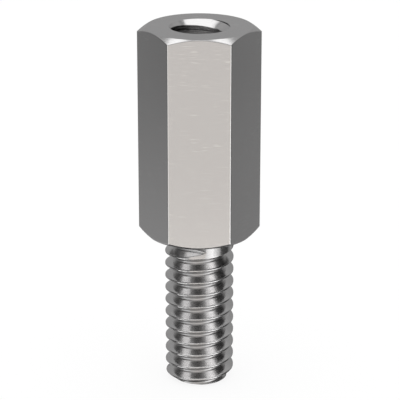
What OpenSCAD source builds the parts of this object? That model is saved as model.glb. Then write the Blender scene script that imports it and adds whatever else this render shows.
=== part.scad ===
// Hex standoff, male to female: a length of hexagonal bar with a tapped hole in its top end and a
// threaded stud turned on its bottom end. It is one piece of stainless steel.
// Millimetres, +Z up. The origin is on the bar's axis in the plane of the shoulder that seats on a
// panel: the hexagonal body is above it and the stud is below. Two flats face -Y and +Y.
// The thread grooves are left out, so the stud is at its crest size and the hole at its drilled size.

/* [Hexagonal body] */
// Distance across opposite flats
across_flats = 6.35; // [6:0.05:9.5]
// Length from the shoulder to the top face
body_length = 12.7; // [8:0.1:40]
// Radius that the drawn bar has along its six edges
edge_radius = 0.08; // [0.05:0.01:0.3]
// Angle of the bevel at each end, measured from the end face
bevel_angle = 30; // [15:1:45]
// How far the bevel's circle lies inside the flats
bevel_inset = 0.05; // [0.02:0.01:0.25]

/* [Threaded stud] */
// Diameter over the thread crests
stud_diameter = 4.166; // [2.8:0.05:4.8]
// Length from the shoulder to the end of the stud
stud_length = 9.525; // [4:0.1:20]
// Depth of the 45 degree bevel on the stud's end
stud_bevel = 0.4; // [0.1:0.01:0.5]

/* [Tapped hole] */
// Diameter of the drilled hole, which is the diameter inside the thread crests
hole_diameter = 2.75; // [2:0.05:3.3]
// Diameter over the thread grooves that the countersink has to clear
hole_thread_diameter = 3.505; // [3.3:0.05:4.2]
// How far the countersink's mouth lies outside the thread grooves
mouth_clearance = 0.05; // [0.02:0.01:0.3]
// Included angle of the countersink
countersink_angle = 90; // [60:1:120]
// Included angle of the point that the drill leaves at the bottom
drill_point_angle = 118; // [90:1:140]
// Solid metal left between the drill point and the shoulder
web_thickness = 2.4; // [1:0.1:4]

/* [Hidden] */
$fn = 96;

// How far a cutter runs past the face that it cuts
overcut = 1;

flat_distance = across_flats / 2;
corner_distance = flat_distance / cos(30);
bevel_radius = flat_distance - bevel_inset;
stud_radius = stud_diameter / 2;
hole_radius = hole_diameter / 2;
mouth_radius = hole_thread_diameter / 2 + mouth_clearance;
countersink_depth = (mouth_radius - hole_radius) / tan(countersink_angle / 2);
point_height = hole_radius / tan(drill_point_angle / 2);
hole_floor = web_thickness + point_height;

// The hexagonal bar's section. Each edge is an arc of edge_radius that meets its two flats smoothly.
module bar_section() {
    // Distance from the axis to the centre of an edge's arc
    arc_distance = corner_distance - edge_radius / cos(30);
    difference() {
        circle(r = corner_distance, $fn = 6);
        for (side = [0 : 5])
            rotate(60 * side)
                difference() {
                    polygon([
                        [arc_distance, 0],
                        arc_point(arc_distance, -30, edge_radius),
                        arc_point(arc_distance, -30, edge_radius + overcut),
                        [corner_distance + overcut, 0],
                        arc_point(arc_distance, 30, edge_radius + overcut),
                        arc_point(arc_distance, 30, edge_radius)
                    ]);
                    translate([arc_distance, 0]) circle(r = edge_radius);
                }
    }
}

// The point at this angle and distance from a centre on the X axis
function arc_point(centre_x, angle, distance) =
    [centre_x + distance * cos(angle), distance * sin(angle)];

// The space that a lathe tool leaves when it bevels both ends of the bar. It widens away from each
// end at bevel_angle, so where it meets the flats it leaves the curved edges of a bevelled hexagon.
module bevel_envelope() {
    reach = corner_distance + overcut;
    rise = (reach - bevel_radius) * tan(bevel_angle);
    rotate_extrude()
        polygon([
            [0, 0],
            [bevel_radius, 0],
            [reach, rise],
            [reach, body_length - rise],
            [bevel_radius, body_length],
            [0, body_length]
        ]);
}

// The blind hole, from the tip of the drill point up to the wide end of the countersink
module tapped_hole() {
    top = body_length + overcut;
    top_radius = mouth_radius + overcut * tan(countersink_angle / 2);
    rotate_extrude()
        polygon([
            [0, web_thickness],
            [hole_radius, hole_floor],
            [hole_radius, body_length - countersink_depth],
            [top_radius, top],
            [0, top]
        ]);
}

// The stud, which runs up into the body so that the two are one piece
module stud() {
    rotate_extrude()
        polygon([
            [0, -stud_length],
            [stud_radius - stud_bevel, -stud_length],
            [stud_radius, -stud_length + stud_bevel],
            [stud_radius, web_thickness / 2],
            [0, web_thickness / 2]
        ]);
}

module standoff() {
    color("silver")
        difference() {
            union() {
                intersection() {
                    linear_extrude(height = body_length) bar_section();
                    bevel_envelope();
                }
                stud();
            }
            tapped_hole();
        }
}

standoff();
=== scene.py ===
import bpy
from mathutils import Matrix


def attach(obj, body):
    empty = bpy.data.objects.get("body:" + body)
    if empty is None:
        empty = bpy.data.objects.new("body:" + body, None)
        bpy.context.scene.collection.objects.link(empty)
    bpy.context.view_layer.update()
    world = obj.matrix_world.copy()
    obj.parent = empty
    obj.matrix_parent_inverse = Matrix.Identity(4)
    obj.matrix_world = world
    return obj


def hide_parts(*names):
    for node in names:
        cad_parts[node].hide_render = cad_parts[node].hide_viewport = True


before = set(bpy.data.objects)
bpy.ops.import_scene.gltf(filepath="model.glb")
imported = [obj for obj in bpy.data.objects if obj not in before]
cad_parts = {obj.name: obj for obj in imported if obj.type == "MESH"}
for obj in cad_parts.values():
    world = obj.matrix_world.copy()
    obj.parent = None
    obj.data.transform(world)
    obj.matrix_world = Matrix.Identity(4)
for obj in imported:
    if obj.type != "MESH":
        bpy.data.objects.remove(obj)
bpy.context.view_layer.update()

import math

import bpy
import numpy as np

MM = 0.001

# ---------------------------------------------------------------------------------------------------
# Sizes in millimetres. The first group has the same names and values as the part's source.

across_flats = 6.35
body_length = 12.7
edge_radius = 0.08
bevel_angle = 30
bevel_inset = 0.05
stud_diameter = 4.166
stud_length = 9.525
stud_bevel = 0.4
hole_diameter = 2.75
hole_thread_diameter = 3.505
mouth_clearance = 0.05
drill_point_angle = 118
web_thickness = 2.4

flat_distance = across_flats / 2
corner_distance = flat_distance / math.cos(math.radians(30))
bevel_radius = flat_distance - bevel_inset
bevel_slope = math.tan(math.radians(bevel_angle))
stud_radius = stud_diameter / 2
hole_radius = hole_diameter / 2
mouth_radius = hole_thread_diameter / 2 + mouth_clearance

# The height of the point that the drill leaves, to the nearest micrometre
drill_point_height = round(hole_radius / math.tan(math.radians(drill_point_angle / 2)), 3)
hole_floor = web_thickness + drill_point_height

# An edge's arc: how far its centre is from the axis, and the angle at the axis, in radians, from its
# middle to its end
arc_centre = corner_distance - edge_radius / math.cos(math.radians(30))
arc_end = math.atan2(edge_radius / 2, arc_centre + edge_radius * math.cos(math.radians(30)))

# The shoulder is faced a little hollow, so that it seats at its rim: how much lower the rim is than the
# shoulder's plane. Its bevel is lighter than the top's: how far the rim lies inside the flats.
shoulder_drop = 0.04
shoulder_inset = 0.005
shoulder_rim_radius = flat_distance - shoulder_inset

# Both threads have 32 turns to the inch, and flanks at 30 degrees to the plane across the axis. The
# start of each is a height of its groove's middle at 0 degrees. The stud's groove is 0.7 of a sharp
# thread's height deep, and the hole's reaches out as far as the countersink's mouth, so that it opens
# a crescent in the countersink's rim.
pitch = 0.79375
flank_slope = math.tan(math.radians(30))
stud_thread_start = -1.682 - pitch / 2
stud_thread_depth = 0.477
hole_thread_start = body_length - 0.868
hole_thread_depth = mouth_radius - hole_radius

# The stud's thread runs out between these angles, in degrees along its helix. The rest says how the
# tool leaves its cut: how the size falls, how far the groove's middle wanders, first up and then down,
# the size at which it crosses its old path between the two, and the size below which the root narrows.
run_out_start = 588
run_out_end = 641
run_out_power = 1.1
run_out_wander = 0.16
run_out_crossing = 0.3
root_hold = 0.2

# Roundings of the corners, from the stud's collar up to the hole
collar_fillet = 0.05
shoulder_edge = 0.005
low_bevel_edge = 0.085
top_bevel_edge = 0.03
top_edge = 0.08
mouth_edge = 0.012
drill_edge = 0.03
stud_end_blend = 0.02
countersink_blend = 0.015

# Points nearer to each other than this are one point
weld = 1e-6

# ---------------------------------------------------------------------------------------------------
# The standoff's surface


def column_angles():
    """Angles round the axis in degrees, from 0 to 360, one for each column of the surface.

    Each of the six edges has its columns at even steps of the arc's own turn: the angle of an arc
    point is atan2(f * sin(a), c + f * cos(a)), with f the edge radius and c the distance of the arc's
    centre. The flat between two arcs is divided evenly, from a little way off each arc.
    """
    columns_on_arc = 9
    columns_on_flat = 22
    off_arc = 0.4
    turn = np.radians(np.linspace(-30, 30, columns_on_arc))
    arc = np.degrees(np.arctan2(edge_radius * np.sin(turn), arc_centre + edge_radius * np.cos(turn)))
    flat = np.linspace(arc[-1] + off_arc, 60 - arc[-1] - off_arc, columns_on_flat)
    sector = np.concatenate([arc, flat])
    angles = (sector[None, :] + 60 * np.arange(6)[:, None]).ravel()
    return np.sort(np.concatenate([angles % 360, [360.0]]))


def angle_from_corner(angle):
    """The angle in degrees from the nearest of the six corners, which lie at 0, 60 and so on."""
    return (angle + 30) % 60 - 30


def bar_radius(angle):
    """Distance from the axis to the bar's side at each angle, in millimetres.

    On a flat it is the flat's distance over cos(angle from the flat's middle). On an edge's arc it is
    the far crossing of the line at that angle with a circle: c * cos(t) + sqrt(f^2 - (c * sin(t))^2),
    where t is the angle from the corner.
    """
    from_corner = np.radians(angle_from_corner(angle))
    flat = flat_distance / np.cos(math.radians(30) - np.abs(from_corner))
    inside = np.maximum(edge_radius**2 - (arc_centre * np.sin(from_corner)) ** 2, 0)
    arc = arc_centre * np.cos(from_corner) + np.sqrt(inside)
    return np.where(np.abs(from_corner) < arc_end, arc, flat)


def rounded(corners, radii, steps=3, support=0.04, rows_between=0):
    """Rows of points along a profile whose inner corners are rounded.

    Each corner is an array of (radius, height) over the columns. An arc of radius f starts
    f * tan(turn / 2) before its corner. At angle a along it the point is
    start + f * (sin(a) * d + (1 - cos(a)) * n), where d is the direction in and n is at a right angle
    to it, on the inside of the turn. A row at the distance support off each end of an arc keeps the
    flat parts of the profile shaded flat, and rows_between more divide a long stretch.
    """
    long_stretch = 1
    corners = [np.atleast_2d(corner).astype(float) for corner in corners]
    arcs = [corners[0][None]]
    for before, corner, after, radius in zip(corners, corners[1:], corners[2:], radii):
        way_in = (corner - before) / np.linalg.norm(corner - before, axis=-1, keepdims=True)
        way_out = (after - corner) / np.linalg.norm(after - corner, axis=-1, keepdims=True)
        cosine = (way_in * way_out).sum(-1, keepdims=True)
        turn = np.arccos(cosine)
        inside = (way_out - way_in * cosine) / np.sin(turn)
        start = corner - way_in * radius * np.tan(turn / 2)
        part = turn * np.linspace(0, 1, steps + 1)[:, None, None]
        arcs.append(start + radius * (np.sin(part) * way_in + (1 - np.cos(part)) * inside))
    arcs.append(corners[-1][None])
    rows = [arcs[0]]
    for first, second in zip(arcs, arcs[1:]):
        stretch = second[0] - first[-1]
        length = np.linalg.norm(stretch, axis=-1, keepdims=True)
        if support and length.max() > 1.5 * support:
            off = np.minimum(support / length, 0.25)
            count = rows_between if length.max() > long_stretch else 0
            parts = off + (1 - 2 * off) * np.linspace(0, 1, count + 2)[:, None, None]
            rows.append(first[-1] + stretch * parts)
        rows.append(second)
    return np.concatenate(rows)


def smooth_min(a, b, blend):
    """The lower of two arrays, rounded off where they are within blend of each other: the straight
    mix of the two less blend * h * (1 - h), where h says how far one is below the other."""
    h = np.clip(0.5 + 0.5 * (b - a) / blend, 0, 1)
    return b + (a - b) * h - blend * h * (1 - h)


class Thread:
    """A helical groove. Its middle is at height start + pitch * angle / 360, and its section is given
    as (distance along the axis from the middle, depth), for one pitch. Between the angles full and gone
    the tool is drawn out of its cut: the flanks shrink to nothing and the root keeps its width until
    it is shallow."""

    # The size that the groove is taken to have where it is gone, so that nothing is divided by 0
    least = 0.01

    def __init__(self, start, half_root, depth, crest_edge, root_edge, full=1e6, gone=1e7, support=0):
        half_top = half_root + depth * flank_slope
        groove = [[-half_top, 0], [-half_root, depth], [half_root, depth], [half_top, 0]]
        section = rounded(
            [[-pitch / 2, 0], *groove, [pitch / 2, 0]],
            [crest_edge, root_edge, root_edge, crest_edge],
            steps=2,
            support=support,
        )
        self.start = start
        self.half_root = half_root
        self.along = section[:-1, 0, 0]
        self.depth = section[:-1, 0, 1]
        self.full = full
        self.gone = gone

    def size(self, angle):
        """How much of its full depth the groove has at each angle: (1 - t^2)^run_out_power, where t
        goes from 0 to 1 between the angles full and gone."""
        part = np.clip((angle - self.full) / (self.gone - self.full), 0, 1)
        return (1 - part**2) ** run_out_power

    def middle(self, angle):
        """Height of the groove's middle. It rises a little and then sinks as the groove runs out, by
        run_out_wander * (1 - size) * (size - run_out_crossing)."""
        size = self.size(angle)
        return self.start + pitch * angle / 360 + run_out_wander * (1 - size) * (size - run_out_crossing)

    def narrowed(self, along, size):
        """Where a point of the full section lies at this size: the root is min(1, size / root_hold) as
        wide, and the flanks are size as wide."""
        root = np.minimum(np.abs(along), self.half_root) * np.minimum(1, size / root_hold)
        return np.sign(along) * (root + np.maximum(np.abs(along) - self.half_root, 0) * size)

    def widened(self, away, size):
        """Which point of the full section lies at this distance from the middle: narrowed, undone."""
        size = np.maximum(size, self.least)
        part = np.minimum(1, size / root_hold)
        edge = self.half_root * part
        distance = np.abs(away)
        return np.sign(away) * (np.minimum(distance, edge) / part + np.maximum(distance - edge, 0) / size)

    def rows(self, angles, lowest, highest):
        """Heights of the surface's rows, which run along the groove and end at two level rings. A row
        that comes very near a ring is laid on it."""
        near = 0.004
        first = math.floor((lowest - self.start) / pitch) - 2
        last = math.ceil((highest - self.start) / pitch) + 1
        wound = angles[None, None, :] + 360 * np.arange(first, last + 1)[:, None, None]
        along = self.along[None, :, None]
        between = self.start + pitch * wound / 360 + along
        in_groove = self.middle(wound) + self.narrowed(along, self.size(wound))
        heights = np.where(along == self.along[0], between, in_groove).reshape(-1, len(angles))
        heights = np.where(heights < lowest + near, lowest, heights)
        return np.where(heights > highest - near, highest, heights)

    def nearest_turn(self, angles, heights):
        """The angle along the helix, whole turns included, of the groove nearest to each point."""
        turns = np.round((heights - self.start) / pitch - angles / 360)
        return angles + 360 * turns

    def cut(self, angles, heights):
        """Depth of the groove at points of the surface: the section's depth at the point's distance
        from the middle of the nearest turn, with that turn's size."""
        wound = self.nearest_turn(angles, heights)
        away = heights - self.middle(wound)
        size = self.size(wound)
        along = np.concatenate([self.along, [pitch / 2]])
        depth = np.concatenate([self.depth, [0]])
        return size * np.interp(self.widened(away, size), along, depth)

    def root(self, angles, heights):
        """1 where a point lies in the root of the groove, and 0 on its flanks and outside it. It goes
        from 0 to 1 over a thin band of depths, just above the root's."""
        band_start = 0.92
        band = 0.03
        size = self.size(self.nearest_turn(angles, heights))
        part = self.cut(angles, heights) / np.maximum(size, self.least) / self.depth.max()
        return size * np.clip((part - band_start) / band, 0, 1)


def standoff_surface():
    """Rows of (radius, height) over the columns, and two marks on them, from 0 to 1: one in the roots of
    the stud's thread, which makes them rougher and paints shade into them, and a painted highlight along
    the bar's six edges. The rows go from the middle of the stud's end out to its rim, up the stud's thread,
    round the body, and down the tapped hole to the point that the drill left."""
    angles = column_angles()
    columns = len(angles)

    def ring(radius, height):
        return np.stack([np.broadcast_to(radius, columns), np.broadcast_to(height, columns)], -1)

    # The stud. Its end is bevelled at 45 degrees
    stud_thread = Thread(
        start=stud_thread_start,
        half_root=pitch / 11,
        depth=stud_thread_depth,
        crest_edge=0.03,
        root_edge=0.04,
        full=run_out_start,
        gone=run_out_end,
        support=0.04,
    )
    collar_top = -0.1
    heights = stud_thread.rows(angles, -stud_length, collar_top)
    threaded = stud_radius - stud_thread.cut(angles, heights)
    bevelled = stud_radius - stud_bevel + (heights + stud_length)
    stud = np.stack([smooth_min(threaded, bevelled, stud_end_blend), heights], -1)
    stud_root = stud_thread.root(angles, heights)
    rim = stud[0, :, 0]
    end_face = np.stack([ring(rim * part, -stud_length) for part in (0, 0.35, 0.7, 0.9, 0.97)])

    # The hole. The 90 degree countersink hides the thread where it is the wider of the two
    hole_thread = Thread(
        start=hole_thread_start,
        half_root=pitch / 9,
        depth=hole_thread_depth,
        crest_edge=0.03,
        root_edge=0.03,
    )

    def hole_radius_at(heights):
        threaded = hole_radius + hole_thread.cut(angles, heights)
        countersunk = mouth_radius - (body_length - heights)
        return -smooth_min(-threaded, -countersunk, countersink_blend)

    # The body. Its bevels are cones, so they cut deeper into it at the corners than at the middles
    side = bar_radius(angles)
    top_bevel_height = (side - bevel_radius) * bevel_slope
    low_bevel_height = (side - shoulder_rim_radius) * bevel_slope - shoulder_drop
    hole_top = body_length - 0.03
    mouth = np.maximum(hole_radius_at(np.full(columns, body_length)), mouth_radius)
    body = rounded(
        [
            ring(stud_radius, collar_top),
            ring(stud_radius, 0),
            ring(shoulder_rim_radius, -shoulder_drop),
            ring(side, low_bevel_height),
            ring(side, body_length - top_bevel_height),
            ring(bevel_radius, body_length),
            ring(mouth, body_length),
            ring(hole_radius_at(np.full(columns, hole_top)), hole_top),
        ],
        [collar_fillet, shoulder_edge, low_bevel_edge, top_bevel_edge, top_edge, mouth_edge],
        rows_between=3,
    )

    # Down the hole to the point that the drill left
    hole_end = hole_floor + 0.3
    heights = hole_thread.rows(angles, hole_end, hole_top)[::-1]
    hole = np.stack([hole_radius_at(heights), heights], -1)
    wall_end = ring(hole[-1, :, 0], hole_end)
    drill_tip = ring(0, hole_floor - drill_point_height)
    bottom = rounded([wall_end, ring(hole_radius, hole_floor), drill_tip], [drill_edge])
    surface = np.concatenate([end_face, stud, body, hole, bottom])

    # The marks
    stud_first = len(end_face)
    body_first = stud_first + len(stud)
    # The roots of the stud's thread: rougher, and painted darker as shade in the groove
    root_roughness_and_shade = np.zeros(surface.shape[:2])
    root_roughness_and_shade[stud_first:body_first] = stud_root
    # Painted highlight: the upright arcs of the bar's six edges, which the material colours near white
    upright = (np.abs(body[..., 0] - side) < weld) & (body[..., 1] > 0) & (body[..., 1] < body_length)
    inside_arc = 0.95 * math.degrees(arc_end)
    on_edge = np.abs(angle_from_corner(angles)) < inside_arc
    painted_edge_highlight = np.zeros(surface.shape[:2])
    painted_edge_highlight[body_first : body_first + len(body)] = upright & on_edge
    return angles, surface, {"root_roughness_and_shade": root_roughness_and_shade, "painted_edge_highlight": painted_edge_highlight}


def closed_mesh(name, angles, surface, marks):
    """A mesh of the surface, with each of the marks as its own attribute. Points that lie together
    become one vertex, which closes the seam where 360 degrees meets 0, the two poles, and the ends of
    the helical rows. Faces that this leaves with three corners stay as triangles, and those with fewer
    are dropped."""
    turn = np.radians(angles)
    radius = surface[..., 0]
    points = np.stack([radius * np.cos(turn), radius * np.sin(turn), surface[..., 1]], -1)
    keys = np.rint(points.reshape(-1, 3) / weld).astype(np.int64)
    _, kept, merged = np.unique(keys, axis=0, return_index=True, return_inverse=True)
    number = merged.reshape(radius.shape)
    corners = [number[:-1, :-1], number[:-1, 1:], number[1:, 1:], number[1:, :-1]]
    quads = np.stack(corners, -1).reshape(-1, 4)
    repeats = quads == np.roll(quads, -1, axis=1)
    whole = quads[repeats.sum(1) == 0]
    pinched = repeats.sum(1) == 1
    triangles = quads[pinched][~repeats[pinched]].reshape(-1, 3)
    mesh = bpy.data.meshes.new(name)
    vertices = points.reshape(-1, 3)[kept] * MM
    mesh.from_pydata(vertices.tolist(), [], whole.tolist() + triangles.tolist())
    for mark, amount in marks.items():
        mesh.attributes.new(mark, "FLOAT", "POINT").data.foreach_set("value", amount.ravel()[kept])
    mesh.shade_smooth()
    mesh.update()
    piece = bpy.data.objects.new(name, mesh)
    bpy.context.scene.collection.objects.link(piece)
    return piece


# ---------------------------------------------------------------------------------------------------
# Materials


def linear(code):
    """An sRGB hex colour as linear RGBA: c / 12.92 up to 0.04045, else ((c + 0.055) / 1.055) ^ 2.4."""
    channels = np.array([int(code[i : i + 2], 16) / 255 for i in (1, 3, 5)])
    low = channels / 12.92
    high = ((channels + 0.055) / 1.055) ** 2.4
    return (*np.where(channels <= 0.04045, low, high).tolist(), 1.0)


def node(tree, kind, settings=None, **inputs):
    """Adds a node. settings are its own properties. inputs are its sockets: by name, with underscores
    for spaces, or by number after an i. Each is a value, or another node's output to link."""
    made = tree.nodes.new(kind)
    for key, value in (settings or {}).items():
        setattr(made, key, value)
    for key, value in inputs.items():
        by_number = key[0] == "i" and key[1:].isdigit()
        socket = made.inputs[int(key[1:]) if by_number else key.replace("_", " ")]
        if isinstance(value, bpy.types.NodeSocket):
            tree.links.new(value, socket)
        else:
            socket.default_value = value
    return made


def new_material(name):
    """A material with an empty node tree, and that tree."""
    material = bpy.data.materials.new(name)
    material.use_nodes = True
    material.node_tree.nodes.clear()
    return material, material.node_tree


def stainless_steel():
    """Stainless steel, drawn as bar and then turned. Fine streaks 1/16 mm high run round it, which blur
    what it mirrors a little more in one place than in the next. Handling has left faint light marks
    1/20 mm high and under 1 mm long. The bar's long edges have a painted highlight: a near-white colour
    that stands in for their glint. Real streaks and marks are finer, and these are drawn as coarse as
    they need to be to show. The roots of the stud's thread, which the tool tears more than it cuts, blur
    more, and are painted darker, as shade in the groove."""
    streaks_per_mm = (1.2, 1.2, 16)
    streak_height = 0.00012 * MM
    smoothest, roughest = 0.16, 0.20
    root_roughness = 0.12
    marks_per_mm = (1.5, 1.5, 20)
    turned_steel = linear("#CAC9C9")
    rubbed_mark = linear("#D3D2D1")
    # Painted shade: the roots of the stud's thread are coloured darker
    root_shade_colour = linear("#C2C1C1")
    # Painted highlight: near white along the bar's edges
    edge_highlight_white = linear("#FAFAF9")

    material, tree = new_material("stainless_steel_machined")
    place = node(tree, "ShaderNodeTexCoord").outputs["Object"]
    root_roughness_and_shade = node(tree, "ShaderNodeAttribute", {"attribute_name": "root_roughness_and_shade"}).outputs["Fac"]
    painted_edge_highlight = node(tree, "ShaderNodeAttribute", {"attribute_name": "painted_edge_highlight"}).outputs["Fac"]

    # The streaks, in roughness and relief
    scale = tuple(number / MM for number in streaks_per_mm)
    streak_place = node(tree, "ShaderNodeMapping", Vector=place, Scale=scale).outputs["Vector"]
    streaks = node(tree, "ShaderNodeTexNoise", Vector=streak_place, Scale=1.0, Detail=2.0, Roughness=0.6)
    streak = streaks.outputs["Fac"]
    finish = node(
        tree,
        "ShaderNodeMapRange",
        Value=streak,
        From_Min=0.3,
        From_Max=0.7,
        To_Min=smoothest,
        To_Max=roughest,
    ).outputs["Result"]
    multiply_add = {"operation": "MULTIPLY_ADD"}
    roughness = node(tree, "ShaderNodeMath", multiply_add, i0=root_roughness_and_shade, i1=root_roughness, i2=finish)
    bump = node(tree, "ShaderNodeBump", Height=streak, Distance=streak_height, Strength=1.0)

    # The marks, and the colours from the flats to the edges
    scale = tuple(number / MM for number in marks_per_mm)
    mark_place = node(tree, "ShaderNodeMapping", Vector=place, Scale=scale).outputs["Vector"]
    marks = node(tree, "ShaderNodeTexNoise", Vector=mark_place, Scale=1.0, Detail=0.0).outputs["Fac"]
    rubbed = node(tree, "ShaderNodeMapRange", Value=marks, From_Min=0.66, From_Max=0.82).outputs["Result"]
    colours = {"data_type": "RGBA"}
    flats = node(tree, "ShaderNodeMix", colours, i0=rubbed, i6=turned_steel, i7=rubbed_mark).outputs[2]
    # Painted shade in the roots
    turned = node(tree, "ShaderNodeMix", colours, i0=root_roughness_and_shade, i6=flats, i7=root_shade_colour).outputs[2]
    # Painted highlight on the edges
    colour = node(tree, "ShaderNodeMix", colours, i0=painted_edge_highlight, i6=turned, i7=edge_highlight_white).outputs[2]

    shader = node(
        tree,
        "ShaderNodeBsdfPrincipled",
        Base_Color=colour,
        Metallic=1.0,
        Roughness=roughness.outputs[0],
        Normal=bump.outputs["Normal"],
    )
    node(tree, "ShaderNodeOutputMaterial", Surface=shader.outputs["BSDF"])
    return material


# ---------------------------------------------------------------------------------------------------
# The studio. Its lengths are in metres.

# The cards stand this far from the object, and the sheets, the room above them and the lamp hang this
# high over it
card_distance = 0.4
sheet_height = 0.4
lamp_height = 0.41
surround_height = 0.42
warm_white = "#FFFAF5"


def emitter(name, colour):
    """A material that gives off light of this colour, as strong at each point as the mesh's own
    attribute level says."""
    material, tree = new_material(name)
    level = node(tree, "ShaderNodeAttribute", {"attribute_name": "level"})
    glow = node(tree, "ShaderNodeEmission", Color=linear(colour), Strength=level.outputs["Fac"])
    node(tree, "ShaderNodeOutputMaterial", Surface=glow.outputs["Emission"])
    return material


def glowing_sheet(name, points, levels, colour="#FFFFFF"):
    """A sheet over a grid of points that gives off light of these levels and only shows in the metal."""
    rows, columns = levels.shape
    number = np.arange(rows * columns).reshape(rows, columns)
    corners = [number[:-1, :-1], number[1:, :-1], number[1:, 1:], number[:-1, 1:]]
    mesh = bpy.data.meshes.new(name)
    mesh.from_pydata(points.reshape(-1, 3).tolist(), [], np.stack(corners, -1).reshape(-1, 4).tolist())
    mesh.attributes.new("level", "FLOAT", "POINT").data.foreach_set("value", levels.ravel())
    mesh.materials.append(emitter(name, colour))
    piece = bpy.data.objects.new(name, mesh)
    bpy.context.scene.collection.objects.link(piece)
    piece.visible_camera = False
    piece.visible_shadow = False
    piece.visible_diffuse = False


def card(name, azimuths, elevations, levels, colour="#FFFFFF"):
    """A card that only shows in the metal: a patch of a sphere round the object. Azimuth is from the
    camera's side towards +X, and both angles are in degrees. A point of it is the distance times
    (sin(az) * cos(el), -cos(az) * cos(el), sin(el)). Its level is mixed evenly from those at its
    corners, ((low first, low last), (high first, high last)), where first and last are azimuths."""
    along, up = np.meshgrid(np.linspace(0, 1, 25), np.linspace(0, 1, 13))
    azimuth = np.radians(azimuths[0] + along * (azimuths[1] - azimuths[0]))
    elevation = np.radians(elevations[0] + up * (elevations[1] - elevations[0]))
    across = np.cos(elevation)
    direction = [np.sin(azimuth) * across, -np.cos(azimuth) * across, np.sin(elevation)]
    (low_first, low_last), (high_first, high_last) = np.broadcast_to(levels, (2, 2))
    low = low_first + along * (low_last - low_first)
    high = high_first + along * (high_last - high_first)
    glowing_sheet(name, card_distance * np.stack(direction, -1), low + up * (high - low), colour)


def level_sheet(name, x_part, y_part, level, height=sheet_height):
    """A level sheet over the object. It spans these parts of its height along X and Y."""
    x, y = np.meshgrid(height * np.array(x_part), height * np.array(y_part))
    glowing_sheet(name, np.stack([x, y, np.full_like(x, height)], -1), np.full_like(x, level))


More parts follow.
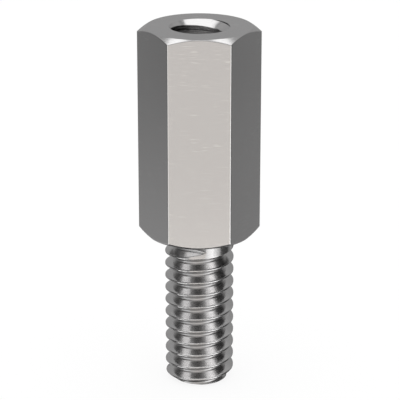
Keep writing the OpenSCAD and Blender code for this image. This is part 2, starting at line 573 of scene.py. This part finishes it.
def cards():
    """What the metal mirrors. Cards, strips and soft boxes are light, and flags are dark."""
    # Before the object, below the level of its middle
    card("card_front_low", (-34, 20), (-26, -22), ((1.65, 1.55), (1.55, 1.45)), warm_white)
    card("card_front", (-34, 20), (-22, -6), ((0.95, 0.85), (1.05, 0.95)), warm_white)
    card("card_front_left", (-78, -34), (-26, -22), ((0.90, 0.70), (0.30, 0.50)))
    card("card_edge_left", (-78, -34), (-22, -6), ((0.30, 0.60), (0.00, 0.60)))
    card("card_front_right", (20, 48), (-26, -20.8), ((1.00, 1.50), (1.30, 2.30)))
    card("card_edge_right", (20, 48), (-20.8, -6), ((0.95, 1.30), (1.30, 1.40)))
    card("flag_side_right", (48, 76), (-20.8, -6), ((0.15, 0.10), (0.10, 0.00)))
    card("card_side_right", (48, 76), (-26, -20.8), ((1.90, 0.70), (2.30, 0.80)))
    # Two strip lights near the floor, and the dark gap between them
    card("strip_left_outer", (-80, -60), (-36, -26), ((1.90, 1.90), (2.30, 2.20)))
    card("strip_left", (-60, -42), (-36, -26), 2.20)
    card("strip_left_inner", (-42, -22), (-36, -26), ((0.50, 0.00), (0.60, 0.30)))
    card("flag_front_low", (-22, 8), (-36, -26), ((0.05, 0.10), (0.40, 0.40)))
    card("strip_right_inner", (8, 28), (-36, -26), ((0.25, 0.80), (0.30, 0.80)))
    card("strip_right", (28, 48), (-36, -26), ((2.05, 2.30), (2.05, 2.40)))
    card("strip_right_outer", (48, 68), (-36, -26), ((2.90, 2.50), (3.00, 2.80)))
    card("card_low_left", (-80, -22), (-46, -36), ((0.40, 0.30), (0.50, 0.35)))
    card("card_low_front", (-22, 8), (-46, -36), ((0.05, 0.05), (0.10, 0.05)))
    card("card_low_right", (8, 68), (-46, -36), ((0.20, 0.30), (0.30, 0.40)))
    # Before the object, above it
    card("card_high_left", (-78, -20), (-6, 48), ((0.00, 0.65), (0.10, 0.50)))
    card("flag_front_high", (-20, 8), (-6, 48), ((0.55, 0.35), (0.45, 0.35)))
    card("card_high_right", (8, 76), (-6, 48), ((0.45, 0.00), (0.30, 0.15)))
    # At its sides
    card("flag_right", (76, 112), (-26, 20), ((0.10, 0.05), (0.00, 0.00)))
    card("flag_right_high", (76, 112), (20, 48), ((0.00, 0.00), (0.60, 0.40)))
    card("flag_right_low", (68, 112), (-46, -26), ((0.40, 0.00), (0.50, 0.00)))
    card("card_side_left", (-112, -78), (-26, -22), ((0.10, 1.30), (0.10, 0.60)))
    card("flag_left", (-112, -78), (-22, 20), ((0.15, 0.10), (0.00, 0.00)))
    card("flag_left_high", (-112, -78), (20, 48), ((0.00, 0.00), (0.40, 0.60)))
    card("flag_left_low", (-112, -80), (-46, -26), 0.00)
    card("card_right_back", (112, 140), (-15, 15), ((0.10, 0.50), (0.40, 0.55)))
    card("card_right_back_high", (112, 140), (15, 48), ((0.30, 0.45), (0.50, 0.50)))
    card("card_left_back", (-140, -112), (-15, 15), ((0.60, 0.05), (0.40, 0.20)))
    card("card_left_back_high", (-140, -112), (15, 48), ((0.45, 0.30), (0.50, 0.50)))
    card("card_right_back_low", (112, 140), (-46, -15), ((0.40, 0.50), (0.15, 0.50)))
    card("card_left_back_low", (-140, -112), (-46, -15), ((0.80, 0.85), (0.35, 0.20)))
    # Behind it
    card("card_back", (140, 220), (-15, 48), ((0.30, 0.40), (0.45, 0.45)))
    card("card_back_low", (140, 220), (-46, -15), ((0.00, 0.10), (0.25, 0.45)))
    # Below it
    card("flag_below", (-180, 180), (-89, -46), 0.00)
    # Soft boxes, flags and cards over it, and the dim room that shows between them
    level_sheet("softbox_middle", (-0.93, 0.68), (-0.3, 0.1), 1.60)
    level_sheet("softbox_front", (-0.5, 0.5), (-0.6, -0.3), 1.65)
    level_sheet("softbox_left", (-0.87, -0.16), (0.1, 0.25), 1.30)
    level_sheet("softbox_right", (0.16, 0.68), (0.1, 0.25), 0.45)
    level_sheet("softbox_back_left", (-0.5, -0.16), (0.25, 0.5), 1.75)
    level_sheet("softbox_back_right", (0.16, 0.5), (0.25, 0.5), 1.75)
    level_sheet("flag_overhead", (-0.16, 0.16), (0.1, 0.5), 0.50)
    level_sheet("card_overhead_left", (-1.0, -0.16), (0.5, 1.0), 0.40)
    level_sheet("card_overhead_right", (0.16, 1.0), (0.5, 1.0), 0.45)
    level_sheet("surround_overhead", (-1.3, 1.3), (-1.0, 1.05), 0.35, surround_height)


def lamp():
    """The lamp hangs level over the object and lights the floor. Its power is pi times its area times
    how bright its face is, where 1 is white."""
    brightness = 1.6
    data = bpy.data.lights.new("lamp_overhead", "AREA")
    data.shape = "SQUARE"
    data.size = 0.6
    data.energy = brightness * math.pi * data.size**2
    made = bpy.data.objects.new("lamp_overhead", data)
    made.location = (0, 0, lamp_height)
    bpy.context.scene.collection.objects.link(made)
    made.visible_camera = False
    made.visible_glossy = False


def surroundings():
    """The world is white to the camera and in the metal, and lights the floor less than that."""
    light_on_floor = 0.6
    white = (1, 1, 1, 1)
    world = bpy.data.worlds.new("studio")
    bpy.context.scene.world = world
    world.use_nodes = True
    tree = world.node_tree
    tree.nodes.clear()
    ray = node(tree, "ShaderNodeLightPath").outputs
    either = {"operation": "MAXIMUM"}
    seen = node(tree, "ShaderNodeMath", either, i0=ray["Is Camera Ray"], i1=ray["Is Glossy Ray"])
    seen = node(tree, "ShaderNodeMath", either, i0=seen.outputs[0], i1=ray["Is Transmission Ray"])
    strength = node(tree, "ShaderNodeMapRange", Value=seen.outputs[0], To_Min=light_on_floor, To_Max=1.0)
    back = node(tree, "ShaderNodeBackground", Color=white, Strength=strength.outputs["Result"])
    node(tree, "ShaderNodeOutputWorld", Surface=back.outputs["Background"])


def floor():
    """A wide sheet of white board under the end of the stud. To the camera it mostly gives off its own
    white, so that it meets the white surroundings with no line, and only the faintest shadow shows."""
    half_width = 20.0
    own_white = 0.88
    height = -stud_length * MM
    mesh = bpy.data.meshes.new("floor")
    corners = [(x * half_width, y * half_width, height) for x, y in ((-1, -1), (1, -1), (1, 1), (-1, 1))]
    mesh.from_pydata(corners, [], [(0, 1, 2, 3)])
    material, tree = new_material("floor_white_board")
    ray = node(tree, "ShaderNodeLightPath").outputs
    board = node(tree, "ShaderNodeBsdfDiffuse", Color=linear("#F2F2F2"))
    white = node(tree, "ShaderNodeEmission", Color=(1, 1, 1, 1), Strength=1.0)
    part = node(tree, "ShaderNodeMath", {"operation": "MULTIPLY"}, i0=ray["Is Camera Ray"], i1=own_white)
    mixed = node(tree, "ShaderNodeMixShader", Fac=part.outputs[0], i1=board.outputs[0], i2=white.outputs[0])
    node(tree, "ShaderNodeOutputMaterial", Surface=mixed.outputs[0])
    mesh.materials.append(material)
    piece = bpy.data.objects.new("floor", mesh)
    bpy.context.scene.collection.objects.link(piece)
    piece.visible_glossy = False
    piece.visible_shadow = False


def camera():
    """The camera stands a little above the object and looks down on it at 19.6 degrees."""
    distance = 114.4 * MM
    elevation = math.radians(19.6)
    target = (0.039 * MM, 0.0, 1.928 * MM)
    data = bpy.data.cameras.new("camera")
    data.lens = 170.8
    data.sensor_width = 36
    data.clip_start = 0.01
    data.clip_end = 100
    made = bpy.data.objects.new("camera", data)
    made.location = (target[0], -distance * math.cos(elevation), target[2] + distance * math.sin(elevation))
    made.rotation_euler = (math.pi / 2 - elevation, 0, 0)
    bpy.context.scene.collection.objects.link(made)
    bpy.context.scene.camera = made


# ---------------------------------------------------------------------------------------------------

standoff = closed_mesh("standoff_threaded", *standoff_surface())
standoff.data.materials.append(stainless_steel())
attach(standoff, "root")
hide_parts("standoff")

floor()
cards()
lamp()
surroundings()
camera()
bpy.context.scene.view_settings.view_transform = "Standard"
